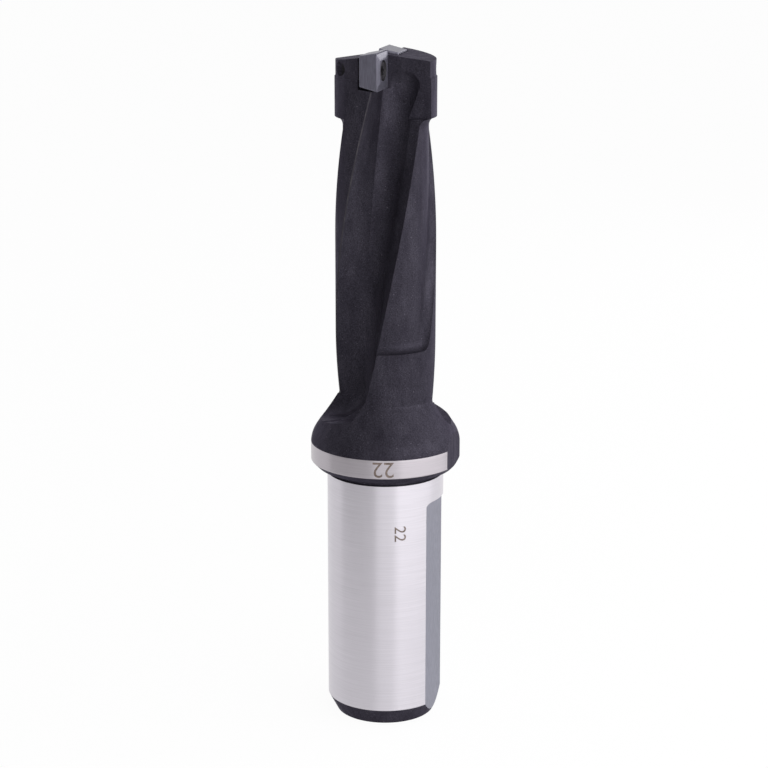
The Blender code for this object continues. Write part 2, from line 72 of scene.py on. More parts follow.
COOLANT_MOUTH_HALF_ANGLE = math.radians(30)
DRILL_POINT_HALF_ANGLE = math.radians(59)
SHANK_FLAT_DEPTH = 0.00158
SHANK_FLAT_LENGTH = 0.0496
SHANK_FLAT_FILLET = 0.001
FLANGE_FLAT_DEPTH = 0.00084

# Sizes of the inserts, their screws and their pockets
CUTTING_RADIUS = 0.011
INSERT_SIZE = 0.00794
INSERT_THICKNESS = 0.00397
INSERT_CORNER_RADIUS = 0.0004
INSERT_CLEARANCE_ANGLE = math.radians(11)
INSERT_HOLE_RADIUS = 0.0014
INSERT_SINK_RADIUS = 0.00215
INSERT_LAND_WIDTH = 0.00012
INSERT_BACK_EDGE = 0.0001
INSERT_EDGE_DEPTH = 0.00003
INSERT_EDGE_FOOT_INSET = 0.000005
INSERT_EDGE_TOP_INSET = 0.00002
INSERT_GROOVE_WIDTH = 0.00035
INSERT_GROOVE_DEPTH = 0.00008
INSERT_SLOPE_WIDTH = 0.00135
INSERT_PLATEAU_HEIGHT = 0.00024
RAKE_OFFSET = 0.0013
CENTRE_OVERLAP = 0.0008
CENTRAL_INSERT_DROP = 0.0003
SINK_HALF_ANGLE = math.radians(30)
SCREW_RADIUS = 0.00125
SCREW_LENGTH = 0.0068
SCREW_HEAD_RADIUS = 0.00185
SCREW_HEAD_RIM = 0.0002
SCREW_HEAD_SINK = 0.00025
SCREW_TIP_CHAMFER = 0.0003
SCREW_THREAD_DEPTH = 0.00022
SCREW_THREAD_PITCH = 0.00045
SCREW_HOLE_CLEARANCE = 0.00015
SCREW_HOLE_CHAMFER = 0.00012
TORX_OUTER_RADIUS = 0.00115
TORX_INNER_RADIUS = 0.000825
TORX_DEPTH = 0.0009
SEAT_GAP = 0.0003
POCKET_SIDE_GAP = 0.0001
POCKET_DRAFT = math.radians(6)
PERIPHERAL_NOTCH_LENGTH = 0.0142
PERIPHERAL_NOTCH_OPENING = math.radians(3.5)
NOTCH_CLEAR_OF_CREASE = 0.0009
CENTRAL_SHOULDER_SETBACK = 0.0021
END_RIDGE_OFFSET = 0.0011
END_FACE_DROP = 0.00096
PERIPHERAL_END_SLOPE = math.radians(9.4)
CENTRAL_END_SLOPE = math.radians(7.1)

# Sizes of the flutes and of the relief behind each land
FLUTE_LEAD = 0.255
MILL_RADIUS = 0.005
FLUTE_WALL_OFFSET = 0.0001
FLUTE_CREASE_X = 0.0007
FLUTE_CREASE_DEPTH = 0.0042
WEB_RADIUS = 0.00335
FLUTE_RUN_PAST_POCKET = 0.0004
FLUTE_RUN_INTO_CONE = 0.00234
FLUTE_FOOT_SLOPE = 0.235
FLUTE_FOOT_SLOPE_LENGTH = 0.012
HEEL_LEAD = 0.274
HEEL_WALL_OFFSET = 0.002
HEEL_TOP_DROP = 0.0045
HEEL_FOOT_RISE = 0.0001
HEEL_RUNOUT_LENGTH = 0.0057
HEEL_RUNOUT_RADIUS = 0.0095
RUNOUT_RADIUS = 0.005
RUNOUT_ANGLE = math.radians(78)
RELIEF_DEPTH = 0.00167
RELIEF_FILLET = 0.002
RELIEF_CORNER_RADIUS = 0.00175
HEAD_LENGTH = 0.014
RELIEF_FOOT_LENGTH = 0.0115
LAND_ANGLE = math.radians(28)
RELIEF_NEAR_ANGLE = math.radians(60)
EDGE_BREAK = 0.00018
EDGE_BREAK_RUN_BELOW_RELIEF = 0.012
SMALL_EDGE = 0.00008
BAND_REACH = 0.00048

# The plain size number on the flange's band and on the shank. A place is (azimuth, height).
MARK_TEXT = "22"
MARK_RISE = 0.00002
MARK_STRIP = 0.0003
BAND_MARK_SIZE = 0.0048
BAND_MARK_PLACE = (math.radians(-75), 0.05947)
BAND_MARK_TURN = math.pi
SHANK_MARK_SIZE = 0.0036
SHANK_MARK_PLACE = (math.radians(-59.4), 0.0439)
SHANK_MARK_TURN = -math.pi / 2

# How finely round shapes are divided
TURNED_STEPS = 192
SMALL_TURNED_STEPS = 48
CORNER_STEPS = 6
TORX_STEPS = 72
LETTER_STEPS = 6
MILL_STEPS = 28
FILLET_STEPS = 8
FLOOR_STEPS = 24
RUNOUT_STEPS = 12
BALL_NOSE_DEGREES = (7, 14, 22, 30, 38, 46, 54, 62, 70, 78, 86)
HELIX_STEP = 0.0008
CUTTER_MARGIN = 0.003
SHARP_ANGLE = math.radians(24)
INSERT_SHARP_ANGLE = math.radians(8)

# Places worked out from the sizes
CUTTER_REACH = FLANGE_RADIUS + CUTTER_MARGIN
POCKET_FLOOR = OVERALL_LENGTH - INSERT_SIZE
INSERT_HALF = INSERT_SIZE / 2
INSERT_HEIGHT = OVERALL_LENGTH - INSERT_HALF
PERIPHERAL_RADIUS = math.sqrt(CUTTING_RADIUS**2 - RAKE_OFFSET**2) - INSERT_HALF
CENTRAL_RADIUS = INSERT_HALF - CENTRE_OVERLAP
FLUTE_CREASE = Vector((FLUTE_CREASE_X, -FLUTE_CREASE_DEPTH))
MILL_REACH = WEB_RADIUS + MILL_RADIUS
MILL_SQUARES = MILL_REACH**2 + FLUTE_CREASE.length_squared - MILL_RADIUS**2
MILL_COSINE = MILL_SQUARES / (2 * MILL_REACH * FLUTE_CREASE.length)
MILL_TURN = math.atan2(FLUTE_CREASE.y, FLUTE_CREASE.x) + math.acos(MILL_COSINE)
MILL_CENTRE = MILL_REACH * Vector((math.cos(MILL_TURN), math.sin(MILL_TURN)))
CREASE_ANGLE = math.atan2(FLUTE_CREASE.y - MILL_CENTRE.y, FLUTE_CREASE.x - MILL_CENTRE.x)
RIM_DEPTH = BODY_RADIUS + CUTTER_MARGIN / 10
FLANGE_ROUNDING_START = SHANK_LENGTH + FLANGE_CHAMFER + FLANGE_BAND_LENGTH
BAND_EDGE_ANGLE = math.asin(BAND_REACH / FLANGE_ROUNDING)
CONE_START_HEIGHT = FLANGE_ROUNDING_START + FLANGE_ROUNDING * math.sin(CONE_HALF_ANGLE)
CONE_START_RADIUS = FLANGE_RADIUS - FLANGE_ROUNDING * (1 - math.cos(CONE_HALF_ANGLE))
BODY_FOOT = CONE_START_HEIGHT + (CONE_START_RADIUS - BODY_RADIUS) / math.tan(CONE_HALF_ANGLE)
FLUTE_FOOT = BODY_FOOT - FLUTE_RUN_INTO_CONE
RUNOUT_START = FLUTE_FOOT + RUNOUT_RADIUS * math.sin(RUNOUT_ANGLE)
FLUTE_TOP = POCKET_FLOOR + FLUTE_RUN_PAST_POCKET
RELIEF_FOOT = BODY_FOOT + RELIEF_FOOT_LENGTH
RELIEF_TOP = OVERALL_LENGTH - HEAD_LENGTH
RELIEF_RADIUS = BODY_RADIUS - RELIEF_DEPTH
HEEL_FOOT = FLUTE_FOOT + HEEL_FOOT_RISE
HEEL_TOP = POCKET_FLOOR - HEEL_TOP_DROP

# The camera, as fitted to the photograph
CAMERA_PLACE = (0.1304, -0.4373, 0.1983)
CAMERA_AZIMUTH = math.radians(16.6)
CAMERA_PITCH = math.radians(15.29)
CAMERA_ROLL = math.radians(0.075)
CAMERA_LENS = 103.86
CAMERA_SHIFT = -0.0022

# Colours, finishes and light
OXIDE_DARK = (0.021, 0.019, 0.0265)
OXIDE_PALE = (0.0365, 0.0335, 0.0445)
OXIDE_METALLIC = 0.6
OXIDE_SPECULAR = 0.1
OXIDE_EDGE_TINT = (0.5, 0.47, 0.58)
OXIDE_SPECK = (0.1, 0.09, 0.11)
# Edge colours: partly wear of the oxide, partly a painted highlight along the leading edge
EDGE_DARK = (0.032, 0.029, 0.036)
EDGE_PALE = (0.065, 0.06, 0.065)
GROUND_COLOUR = (0.57, 0.545, 0.59)
GROUND_ROUGHNESS = 0.34
BAND_COLOUR = (0.43, 0.4, 0.43)
MILLED_COLOUR = (0.215, 0.215, 0.272)
CARBIDE_COLOUR = (0.139, 0.134, 0.172)
SCREW_COLOUR = (0.09, 0.085, 0.095)
MARK_DARK = (0.1, 0.075, 0.065)
MARK_PALE = (0.2, 0.155, 0.135)
# Painted shade for holes: near-black colours that stand in for the shade inside them
HOLE_SHADE_DARK = (0.008, 0.007, 0.009)
HOLE_SHADE_PALE = (0.02, 0.018, 0.022)
WORLD_LIGHT = 0.6
FLOOR_COLOUR = (0.93, 0.93, 0.93)
FLOOR_WHITE = 0.95
FLOOR_BOX = ((-3, -3, -0.02), (3, 3, 0))
CARD_COLOUR = (0.4, 0.4, 0.4)
CARD_BOX = ((-0.15, 0, 0.001), (0.15, 0.004, 0.45))
CARD_AZIMUTH = math.radians(-54)
CARD_DISTANCE = 0.2
AIM = (0, 0, 0.07)

# Each soft light's name, azimuth, distance, height, size and brightness
SOFTBOXES = (
    ("front softbox", math.radians(1), 0.8, 0.24, (0.89, 0.44), 0.9),
    ("right softbox", math.radians(62), 0.5, 0.24, (0.9, 0.44), 2.6),
    ("rear softbox", math.radians(130), 0.5, 0.2, (0.5, 0.36), 1.3),
)


def add_object(name, mesh, parent=None):
    """An object in the scene that holds the mesh."""
    thing = bpy.data.objects.new(name, mesh)
    bpy.context.scene.collection.objects.link(thing)
    thing.parent = parent
    return thing


def mesh_from(bm, name, material):
    """The mesh of a bmesh, with its faces turned outward."""
    bmesh.ops.recalc_face_normals(bm, faces=bm.faces)
    mesh = bpy.data.meshes.new(name)
    bm.to_mesh(mesh)
    bm.free()
    mesh.materials.append(material)
    return mesh


def around(centre, radius, start, end, steps):
    """Points of an arc in the plane, both ends among them."""
    angles = [start + (end - start) * i / steps for i in range(steps + 1)]
    return [Vector((centre[0] + radius * math.cos(a), centre[1] + radius * math.sin(a))) for a in angles]


def heights_between(low, high, step):
    """Evenly spaced heights, both ends among them, at most a step apart."""
    count = max(1, math.ceil((high - low) / step))
    return [low + (high - low) * i / count for i in range(count + 1)]


def turned_mesh(name, profile, steps, materials, finishes=None):
    """A closed solid turned about Z. A point is (radius, height), down the outer side first.

    finishes gives the material's number for each stretch between two points.
    """
    bm = bmesh.new()
    rings = []
    for radius, height in profile:
        if radius < 1e-9:
            rings.append([bm.verts.new((0, 0, height))] * steps)
            continue
        turns = [2 * math.pi * i / steps for i in range(steps)]
        rings.append([bm.verts.new((radius * math.cos(a), radius * math.sin(a), height)) for a in turns])
    for k, (upper, lower) in enumerate(zip(rings, rings[1:])):
        for i in range(steps):
            j = (i + 1) % steps
            corners = list(dict.fromkeys((upper[i], lower[i], lower[j], upper[j])))
            if len(corners) > 2:
                face = bm.faces.new(corners)
                face.material_index = finishes[k] if finishes else 0
    mesh = mesh_from(bm, name, materials[0])
    for material in materials[1:]:
        mesh.materials.append(material)
    return mesh


def loft_mesh(name, sections, material):
    """A closed solid through outlines of equal count. A section is (height, turn, outline)."""
    bm = bmesh.new()
    rings = []
    for height, turn, outline in sections:
        place = Matrix.Translation((0, 0, height)) @ Matrix.Rotation(turn, 4, "Z")
        rings.append([bm.verts.new(place @ point.to_3d()) for point in outline])
    for low, high in zip(rings, rings[1:]):
        for i in range(len(low)):
            j = (i + 1) % len(low)
            bm.faces.new((low[i], low[j], high[j], high[i]))
    bm.faces.new(reversed(rings[0]))
    bm.faces.new(rings[-1])
    bmesh.ops.triangulate(bm, faces=bm.faces)
    return mesh_from(bm, name, material)


def block_mesh(name, low, high, material, rounding=0):
    """A box between two corners, with rounded edges if asked."""
    bm = bmesh.new()
    bmesh.ops.create_cube(bm, size=1)
    bmesh.ops.scale(bm, vec=[b - a for a, b in zip(low, high)], verts=bm.verts)
    bmesh.ops.translate(bm, vec=[(a + b) / 2 for a, b in zip(low, high)], verts=bm.verts)
    if rounding:
        bmesh.ops.bevel(
            bm, geom=bm.edges[:], offset=rounding, segments=FILLET_STEPS, profile=0.5, affect="EDGES"
        )
    return mesh_from(bm, name, material)


def cut(target, mesh, place=None):
    """Take a cutter's mesh away from the target when the cuts are applied."""
    cutter = add_object(mesh.name, mesh)
    cutter.matrix_world = place or Matrix()
    boolean = target.modifiers.new(cutter.name, "BOOLEAN")
    boolean.operation = "DIFFERENCE"
    boolean.solver = "EXACT"
    boolean.material_mode = "TRANSFER"
    boolean.object = cutter


def apply_cuts(thing):
    """The target with its cuts made, and its cutters gone."""
    cutters = [modifier.object for modifier in thing.modifiers if modifier.type == "BOOLEAN"]
    bpy.context.view_layer.update()
    depsgraph = bpy.context.evaluated_depsgraph_get()
    result = bpy.data.meshes.new_from_object(thing.evaluated_get(depsgraph), depsgraph=depsgraph)
    thing.modifiers.clear()
    thing.data = result
    for cutter in cutters:
        bpy.data.objects.remove(cutter)
    return thing


def smooth(thing, angle=SHARP_ANGLE):
    """Smooth shading with sharp edges kept."""
    thing.data.shade_smooth()
    thing.data.set_sharp_from_angle(angle=angle)
    weighted = thing.modifiers.new("Even normals", "WEIGHTED_NORMAL")
    weighted.keep_sharp = True
    weighted.weight = 60


def helix_turn(height, lead=FLUTE_LEAD):
    """How far a helix has turned at a height, from where the inserts' pockets start."""
    return 2 * math.pi * (height - POCKET_FLOOR) / lead


def body_outline():
    """The turned body's outline, and each stretch's finish.

    Finish 0 is black oxide, 1 is the ground shank and 2 is the ground band, which reaches into the
    rounding above it.
    """
    end_height = OVERALL_LENGTH + CUTTER_MARGIN
    step_height = OVERALL_LENGTH - TIP_STEP_LENGTH
    step = BODY_RADIUS - TIP_RADIUS
    points = [(0, end_height), (TIP_RADIUS, end_height), (TIP_RADIUS, step_height)]
    points += [(BODY_RADIUS, step_height - step)]
    points += [(BODY_RADIUS, height) for height in (POCKET_FLOOR, 0.12, 0.10, 0.085)]
    tangent = BODY_FOOT_FILLET * math.tan(CONE_HALF_ANGLE / 2)
    fillet_centre = (BODY_RADIUS + BODY_FOOT_FILLET, BODY_FOOT + tangent)
    points += around(fillet_centre, BODY_FOOT_FILLET, math.pi, math.pi + CONE_HALF_ANGLE, FILLET_STEPS)
    rounding_centre = (FLANGE_RADIUS - FLANGE_ROUNDING, FLANGE_ROUNDING_START)
    steps = 2 * FILLET_STEPS
    points += around(rounding_centre, FLANGE_ROUNDING, CONE_HALF_ANGLE, BAND_EDGE_ANGLE, steps)
    finishes = [0] * (len(points) - 1)
    points += around(rounding_centre, FLANGE_ROUNDING, BAND_EDGE_ANGLE, 0, 2)[1:]
    points += [(FLANGE_RADIUS, SHANK_LENGTH + FLANGE_CHAMFER + SMALL_EDGE)]
    points += [(FLANGE_RADIUS - SMALL_EDGE, SHANK_LENGTH + FLANGE_CHAMFER - SMALL_EDGE)]
    points += [(FLANGE_RADIUS - FLANGE_CHAMFER, SHANK_LENGTH)]
    points += [(SHANK_RADIUS - NECK_DEPTH, SHANK_LENGTH)]
    points += [(SHANK_RADIUS - NECK_DEPTH, SHANK_LENGTH - NECK_LENGTH + NECK_DEPTH)]
    points += [(SHANK_RADIUS, SHANK_LENGTH - NECK_LENGTH)]
    points += [(SHANK_RADIUS, 0.04), (SHANK_RADIUS, 0.02), (SHANK_RADIUS, SHANK_END_CHAMFER_LENGTH)]
    points += [(SHANK_RADIUS - SHANK_END_CHAMFER, 0)]
    finishes += [2, 2, 2, 2, 0, 0, 0, 0, 1, 1, 1, 0]
    bore = COOLANT_BORE_RADIUS
    mouth = COOLANT_MOUTH_RADIUS
    points += [(mouth, 0), (bore, (mouth - bore) / math.tan(COOLANT_MOUTH_HALF_ANGLE))]
    points += [(bore, COOLANT_BORE_DEPTH)]
    points += [(0, COOLANT_BORE_DEPTH + bore / math.tan(DRILL_POINT_HALF_ANGLE))]
    finishes += [0, 0, 0, 0]
    return points, finishes


def wall_x(depth):
    """Where the flute's flat leading wall lies at a depth from the axis."""
    lean = (FLUTE_CREASE_X - FLUTE_WALL_OFFSET) / (BODY_RADIUS - FLUTE_CREASE_DEPTH)
    return FLUTE_WALL_OFFSET + lean * (BODY_RADIUS - depth)


def run_out(height):
    """How far the flute's floor and walls have closed in where it runs out in the cone."""
    drop = max(0, RUNOUT_START - height)
    return RUNOUT_RADIUS - math.sqrt(RUNOUT_RADIUS**2 - drop**2)


def foot_heights(foot, top):
    """Heights of a cut's sections: close together where it runs out at its foot, then even."""
    angles = [RUNOUT_ANGLE * step / RUNOUT_STEPS for step in reversed(range(RUNOUT_STEPS))]
    heights = [foot] + [RUNOUT_START - RUNOUT_RADIUS * math.sin(angle) for angle in angles]
    return heights + heights_between(RUNOUT_START, top, HELIX_STEP)[1:]


def foot_sloped(outline, height, lead):
    """An outline whose rim sinks along the helix, so that the foot slopes outward."""
    share = max(0, 1 - (height - FLUTE_FOOT) / FLUTE_FOOT_SLOPE_LENGTH)
    points = []
    for point in outline:
        sink = -FLUTE_FOOT_SLOPE * share * point.y
        turned = Matrix.Rotation(-2 * math.pi * sink / lead, 2) @ point
        points.append(Vector((turned.x, turned.y, -sink)))
    return points


def slot_outline(rise, shrink=1):
    """The flute mill's section: a flat leading wall, a round floor from its crease, and the far side."""
    centre = MILL_CENTRE - Vector((0, rise))
    arc = around(centre, MILL_RADIUS * shrink, CREASE_ANGLE, 0, MILL_STEPS)
    far = centre.x + MILL_RADIUS * shrink
    outer = [Vector((far, -depth)) for depth in (RIM_DEPTH, CUTTER_REACH)]
    for depth in (CUTTER_REACH, RIM_DEPTH):
        outer.append(Vector((centre.x + (wall_x(depth) - centre.x) * shrink, -depth)))
    squeeze = 1 - rise / (2 * MILL_RADIUS)
    return [Vector((far + (point.x - far) * squeeze, point.y)) for point in arc + outer]


def flute_sections():
    """The flute: it runs out at its foot, and ends at its top in the mill's ball nose."""
    sections = []
    for height in foot_heights(FLUTE_FOOT, FLUTE_TOP):
        outline = foot_sloped(slot_outline(run_out(height)), height, FLUTE_LEAD)
        sections.append((height, helix_turn(height), outline))
    for degrees in BALL_NOSE_DEGREES:
        rise = MILL_RADIUS * math.sin(math.radians(degrees))
        outline = slot_outline(0, math.cos(math.radians(degrees)))
        sections.append((FLUTE_TOP + rise, helix_turn(FLUTE_TOP), outline))
    return sections


def heel_outline(height):
    """The section that opens the flute's trailing side to a wall, which closes in at the foot."""
    drop = max(0, FLUTE_FOOT + HEEL_RUNOUT_LENGTH - height)
    closing = HEEL_RUNOUT_RADIUS - math.sqrt(HEEL_RUNOUT_RADIUS**2 - drop**2)
    inner, wall = MILL_CENTRE.x + run_out(height), -HEEL_WALL_OFFSET - closing
    corners = [(inner, wall), (inner, -CUTTER_REACH), (CUTTER_REACH, -CUTTER_REACH)]
    return [Vector(corner) for corner in corners + [(x, wall) for x in (CUTTER_REACH, RIM_DEPTH)]]


def heel_sections():
    """The trailing side's cut, from where the flute runs out to below the insert."""
    sections = []
    for height in foot_heights(HEEL_FOOT, HEEL_TOP):
        outline = foot_sloped(heel_outline(height), height, HEEL_LEAD)
        sections.append((height, helix_turn(height, HEEL_LEAD), outline))
    return sections


def fillet_rise(distance, radius):
    """How far a fillet's surface stands over the floor at a distance from the wall."""
    if distance >= radius:
        return 0
    return radius - math.sqrt(radius**2 - (radius - distance) ** 2)


def fillet_distances(radius):
    """Distances from a wall that divide a fillet into even steps of its arc."""
    return [radius * (1 - math.cos(math.pi / 2 * i / FILLET_STEPS)) for i in range(FILLET_STEPS + 1)]


def relief_outline(height):
    """The relief's section behind a land: a round floor with a fillet to the wall at its far side."""
    corner = fillet_rise(height - RELIEF_FOOT, RELIEF_CORNER_RADIUS)
    far_angle = math.pi - LAND_ANGLE - corner / BODY_RADIUS
    distances = fillet_distances(RELIEF_FILLET)
    fillet_angles = [far_angle - distance / RELIEF_RADIUS for distance in distances]
    run = (fillet_angles[-1] - RELIEF_NEAR_ANGLE) / FLOOR_STEPS
    run_angles = [fillet_angles[-1] - run * i for i in range(1, FLOOR_STEPS + 1)]
    end_distance = min(height - RELIEF_FOOT, RELIEF_TOP - height)
    end_rise = fillet_rise(end_distance, RELIEF_FILLET)
    inner = []
    for angle in fillet_angles + run_angles:
        side_rise = fillet_rise((far_angle - angle) * RELIEF_RADIUS, RELIEF_FILLET)
        radius = RELIEF_RADIUS + max(end_rise, side_rise)
        inner.append(Vector((radius * math.sin(angle), -radius * math.cos(angle))))
    back_angles = [RELIEF_NEAR_ANGLE + (far_angle - RELIEF_NEAR_ANGLE) * i / 4 for i in range(5)]
    outer = [Vector((CUTTER_REACH * math.sin(a), -CUTTER_REACH * math.cos(a))) for a in back_angles]
    return inner + outer


def relief_sections():
    """The relief's sections, closer together along the fillets at its two ends."""
    distances = fillet_distances(RELIEF_FILLET)
    heights = [RELIEF_FOOT + distance for distance in distances[:-1]]
    heights += heights_between(RELIEF_FOOT + RELIEF_FILLET, RELIEF_TOP - RELIEF_FILLET, HELIX_STEP)
    heights += [RELIEF_TOP - distance for distance in reversed(distances[:-1])]
    return [(height, helix_turn(height), relief_outline(height)) for height in heights]


def edge_break_sections():
    """A small chamfer along the flute's leading edge."""
    edge_y = -math.sqrt(BODY_RADIUS**2 - FLUTE_WALL_OFFSET**2)
    out = 4 * EDGE_BREAK
    corners = (
        (FLUTE_WALL_OFFSET - EDGE_BREAK, edge_y),
        (FLUTE_WALL_OFFSET - EDGE_BREAK - out, edge_y - out),
        (FLUTE_WALL_OFFSET + out, edge_y - out),
        (FLUTE_WALL_OFFSET + out, edge_y + EDGE_BREAK + out),
        (FLUTE_WALL_OFFSET, edge_y + EDGE_BREAK),
    )
    outline = [Vector(corner) for corner in corners]
    heights = heights_between(RELIEF_FOOT - EDGE_BREAK_RUN_BELOW_RELIEF, POCKET_FLOOR, HELIX_STEP)
    return [(height, helix_turn(height), outline) for height in heights]


def pocket_frame(turn, radius, height):
    """An insert's own frame: Z out of its rake face and Y to the cutting end."""
    rake_out = Matrix(((0, 0, 1), (1, 0, 0), (0, 1, 0))).to_4x4()
    return Matrix.Rotation(turn, 4, "Z") @ Matrix.Translation((RAKE_OFFSET, -radius, height)) @ rake_out


def pocket_outline(half, closed_outside):
    """An insert pocket's section: closed below and toward the axis, and beyond the insert if asked."""
    wall = half + POCKET_SIDE_GAP
    outer = -wall if closed_outside else -CUTTER_REACH
    corners = ((outer, -wall), (wall, -wall), (wall, CUTTER_REACH), (outer, CUTTER_REACH))
    return [Vector(corner) for corner in corners]


def cut_pocket(body, name, place, radius, closed_outside, finish, hole_shade):
    """The insert's pocket and the threaded hole behind it."""
    slope = math.tan(POCKET_DRAFT)
    sections = []
    for level in (-INSERT_THICKNESS - SEAT_GAP, CUTTER_MARGIN / 4):
        sections.append((level, 0, pocket_outline(INSERT_HALF + level * slope, closed_outside)))
    cut(body, loft_mesh(name + "_pocket", sections, finish), place)
    depth = RAKE_OFFSET + math.sqrt(TIP_RADIUS**2 - radius**2)
    hole = SCREW_RADIUS + SCREW_HOLE_CLEARANCE
    bottom = depth + CUTTER_MARGIN
    profile = [(0, 0), (hole, 0), (hole, -bottom), (0, -bottom)]
    # The screw hole's wall takes the near-black painted shade colour.
    cut(body, turned_mesh(name + "_screw_hole", profile, SMALL_TURNED_STEPS, [hole_shade]), place)
    start = -depth + SCREW_HOLE_CHAMFER
    mouth = hole + SCREW_HOLE_CHAMFER
    profile = [(0, start), (hole, start), (mouth, -depth), (mouth, -bottom), (0, -bottom)]
    cut(body, turned_mesh(name + "_hole_chamfer", profile, SMALL_TURNED_STEPS, [finish]), place)


def cut_notches(body, finish):
    """The chip space before each insert, and the step in the land beyond the central insert."""
    top = OVERALL_LENGTH + 2 * CUTTER_MARGIN
    floor = INSERT_HALF + POCKET_SIDE_GAP
    low = (NOTCH_CLEAR_OF_CREASE, -2 * CUTTER_REACH, OVERALL_LENGTH - PERIPHERAL_NOTCH_LENGTH)
    beside_insert = (0, -2 * CUTTER_REACH, POCKET_FLOOR - POCKET_SIDE_GAP)
    corner = Matrix.Translation((RAKE_OFFSET, floor - PERIPHERAL_RADIUS, 0))
    opened = corner @ Matrix.Rotation(PERIPHERAL_NOTCH_OPENING, 4, "Z")
    cut(body, block_mesh("peripheral_notch", low, (CUTTER_REACH, 0, top), finish), opened)
    cut(body, block_mesh("peripheral_chip_space", beside_insert, (INSERT_SIZE, 0, top), finish), opened)
    low = (-CUTTER_REACH, CENTRAL_RADIUS - floor, POCKET_FLOOR)
    cut(body, block_mesh("central_notch", low, (-RAKE_OFFSET, CUTTER_REACH, top), finish))
    low = (-CUTTER_REACH, CENTRAL_RADIUS + floor, POCKET_FLOOR)
    high = (CENTRAL_SHOULDER_SETBACK - RAKE_OFFSET, CUTTER_REACH, top)
    cut(body, block_mesh("central_shoulder", low, high, finish))


def cut_end_faces(body, finish):
    """Two slopes that fall away from a ridge near the axis."""
    ridge = Matrix.Translation((-END_RIDGE_OFFSET, 0, OVERALL_LENGTH - END_FACE_DROP))
    low = (-2 * CUTTER_REACH, -CUTTER_REACH, 0)
    high = (2 * CUTTER_REACH, CUTTER_REACH, 2 * CUTTER_REACH)
    for name, slope in (("peripheral", -PERIPHERAL_END_SLOPE), ("central", CENTRAL_END_SLOPE)):
        mesh = block_mesh(name + "_end_slope", low, high, finish)
        cut(body, mesh, ridge @ Matrix.Rotation(slope, 4, "Y"))


def cut_flats(body, oxide, milled):
    """The bare clamping flat on the shank and the black flat on the flange, both facing +X."""
    low = (SHANK_RADIUS - SHANK_FLAT_DEPTH, -CUTTER_REACH, -CUTTER_MARGIN)
    high = (CUTTER_REACH, CUTTER_REACH, SHANK_FLAT_LENGTH)
    cut(body, block_mesh("shank_flat", low, high, milled, SHANK_FLAT_FILLET))
    low = (FLANGE_RADIUS - FLANGE_FLAT_DEPTH, -CUTTER_REACH, SHANK_LENGTH - NECK_LENGTH)
    high = (CUTTER_REACH + CUTTER_MARGIN, CUTTER_REACH, BODY_FOOT)
    cut(body, block_mesh("flange_flat", low, high, oxide))


def make_body(oxide, ground, band, milled, wear_and_highlight, hollow, pockets):
    """The drill's body, finer than its solid and with its leading edges broken."""
    points, finishes = body_outline()
    mesh = turned_mesh("steel_body", points, TURNED_STEPS, [oxide, ground, band], finishes)
    body = add_object("steel_body", mesh)
    for number, turn in ((1, 0), (2, math.pi)):
        place = Matrix.Rotation(turn, 4, "Z")
        for kind, sections, finish in (
            ("flute", flute_sections(), oxide),
            ("heel", heel_sections(), oxide),
            ("relief", relief_sections(), oxide),
            # The leading edge's small chamfer gets the paler edge colour: partly wear, partly a painted
            # highlight.
            ("edge_break", edge_break_sections(), wear_and_highlight),
        ):
            cut(body, loft_mesh(f"{kind}_{number}", sections, finish), place)
    for name, place, radius, closed_outside in pockets:
        cut_pocket(body, name, place, radius, closed_outside, oxide, hollow)
    cut_notches(body, oxide)
    cut_end_faces(body, oxide)
    cut_flats(body, oxide, milled)
    apply_cuts(body)
    smooth(body)
    return body


def rounded_square(size, radius):
    """A square outline with round corners, centred on the origin."""
    middle = size / 2 - radius
    points = []
    for quarter in range(4):
        start = quarter * math.pi / 2
        corner = Matrix.Rotation(start, 2) @ Vector((middle, middle))
        points += around(corner, radius, start, start + math.pi / 2, CORNER_STEPS)
    return points


def make_insert(name, place, finish, hole_shade):
    """A square insert with leaning flanks, a narrow land, a groove and a plateau on its rake face."""
    back_size = INSERT_SIZE - 2 * INSERT_THICKNESS * math.tan(INSERT_CLEARANCE_ANGLE)
    groove_size = INSERT_SIZE - 2 * INSERT_GROOVE_WIDTH
    plateau_size = groove_size - 2 * INSERT_SLOPE_WIDTH
    levels = (
        (-INSERT_THICKNESS, back_size - 2 * INSERT_BACK_EDGE),
        (-INSERT_THICKNESS + INSERT_BACK_EDGE, back_size),
        (-INSERT_EDGE_DEPTH, INSERT_SIZE - 2 * INSERT_EDGE_FOOT_INSET),
        (0, INSERT_SIZE - 2 * INSERT_EDGE_TOP_INSET),
        (0, INSERT_SIZE - 2 * INSERT_LAND_WIDTH),
        (-INSERT_GROOVE_DEPTH, groove_size),
        (INSERT_PLATEAU_HEIGHT, plateau_size),
    )
    outline = rounded_square(INSERT_SIZE, INSERT_CORNER_RADIUS)
    sections = []
    for height, size in levels:
        sections.append((height, 0, [point * (size / INSERT_SIZE) for point in outline]))
    insert = add_object(name, loft_mesh(name, sections, finish))
    top = INSERT_PLATEAU_HEIGHT
    sink_end = top - (INSERT_SINK_RADIUS - INSERT_HOLE_RADIUS) / math.tan(SINK_HALF_ANGLE)
    back = -INSERT_THICKNESS - CUTTER_MARGIN
    above = top + CUTTER_MARGIN
    profile = [(0, above), (INSERT_SINK_RADIUS, above), (INSERT_SINK_RADIUS, top)]
    profile += [(INSERT_HOLE_RADIUS, sink_end), (INSERT_HOLE_RADIUS, back), (0, back)]
    # The insert's hole and countersink take the near-black painted shade colour.
    cut(insert, turned_mesh(name + "_hole", profile, SMALL_TURNED_STEPS, [hole_shade]))
    apply_cuts(insert)
    insert.data.transform(place)
    smooth(insert, INSERT_SHARP_ANGLE)
    return insert


